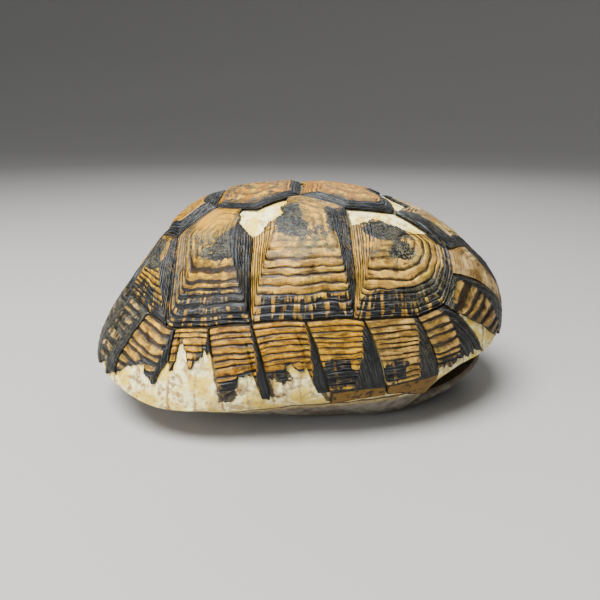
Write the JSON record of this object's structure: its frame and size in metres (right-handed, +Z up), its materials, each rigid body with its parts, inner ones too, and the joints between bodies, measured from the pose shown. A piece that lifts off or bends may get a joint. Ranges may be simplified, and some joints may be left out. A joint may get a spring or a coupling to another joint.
{
  "type": "turtle shell",
  "caption": "Dried empty shell of a domed land tortoise: hollow bony box with horn scutes, open at head, limbs and tail, resting on its flat plastron.",
  "frame": {"origin": "middle of the underside, on the surface that the shell rests on", "axes": "+X to the head end, +Y to the animal's left, +Z up"},
  "size_m": [0.1502, 0.1047, 0.0779],
  "materials": {
    "bone": "matt, chalky, dry bone",
    "amber_horn": "semi-gloss horn, ridged by growth rings",
    "dark_horn": "semi-gloss horn, finely striated"
  },
  "bodies": {
    "root": {"bone_shell": "bone", "vertebral_1": "amber_horn", "vertebral_2": "amber_horn", "vertebral_3": "amber_horn", "vertebral_4": "amber_horn", "vertebral_5": "amber_horn", "pleural_1_r": "amber_horn", "pleural_2_r": "amber_horn", "pleural_3_r": "amber_horn", "pleural_4_r": "amber_horn", "pleural_1_l": "amber_horn", "pleural_2_l": "amber_horn", "pleural_3_l": "amber_horn", "pleural_4_l": "amber_horn", "marginal_1_r": "amber_horn", "marginal_2_r": "amber_horn", "marginal_3_r": "amber_horn", "marginal_4_r": "amber_horn", "marginal_5_r": "amber_horn", "marginal_6_r": "amber_horn", "marginal_7_r": "amber_horn", "marginal_8_r": "amber_horn", "marginal_9_r": "amber_horn", "marginal_10_r": "amber_horn", "marginal_11_r": "amber_horn", "marginal_1_l": "amber_horn", "marginal_2_l": "amber_horn", "marginal_3_l": "amber_horn", "marginal_4_l": "amber_horn", "marginal_5_l": "amber_horn", "marginal_6_l": "amber_horn", "marginal_7_l": "amber_horn", "marginal_8_l": "amber_horn", "marginal_9_l": "amber_horn", "marginal_10_l": "amber_horn", "marginal_11_l": "amber_horn", "nuchal": "dark_horn", "supracaudal": "dark_horn"}
  },
  "joints": []
}
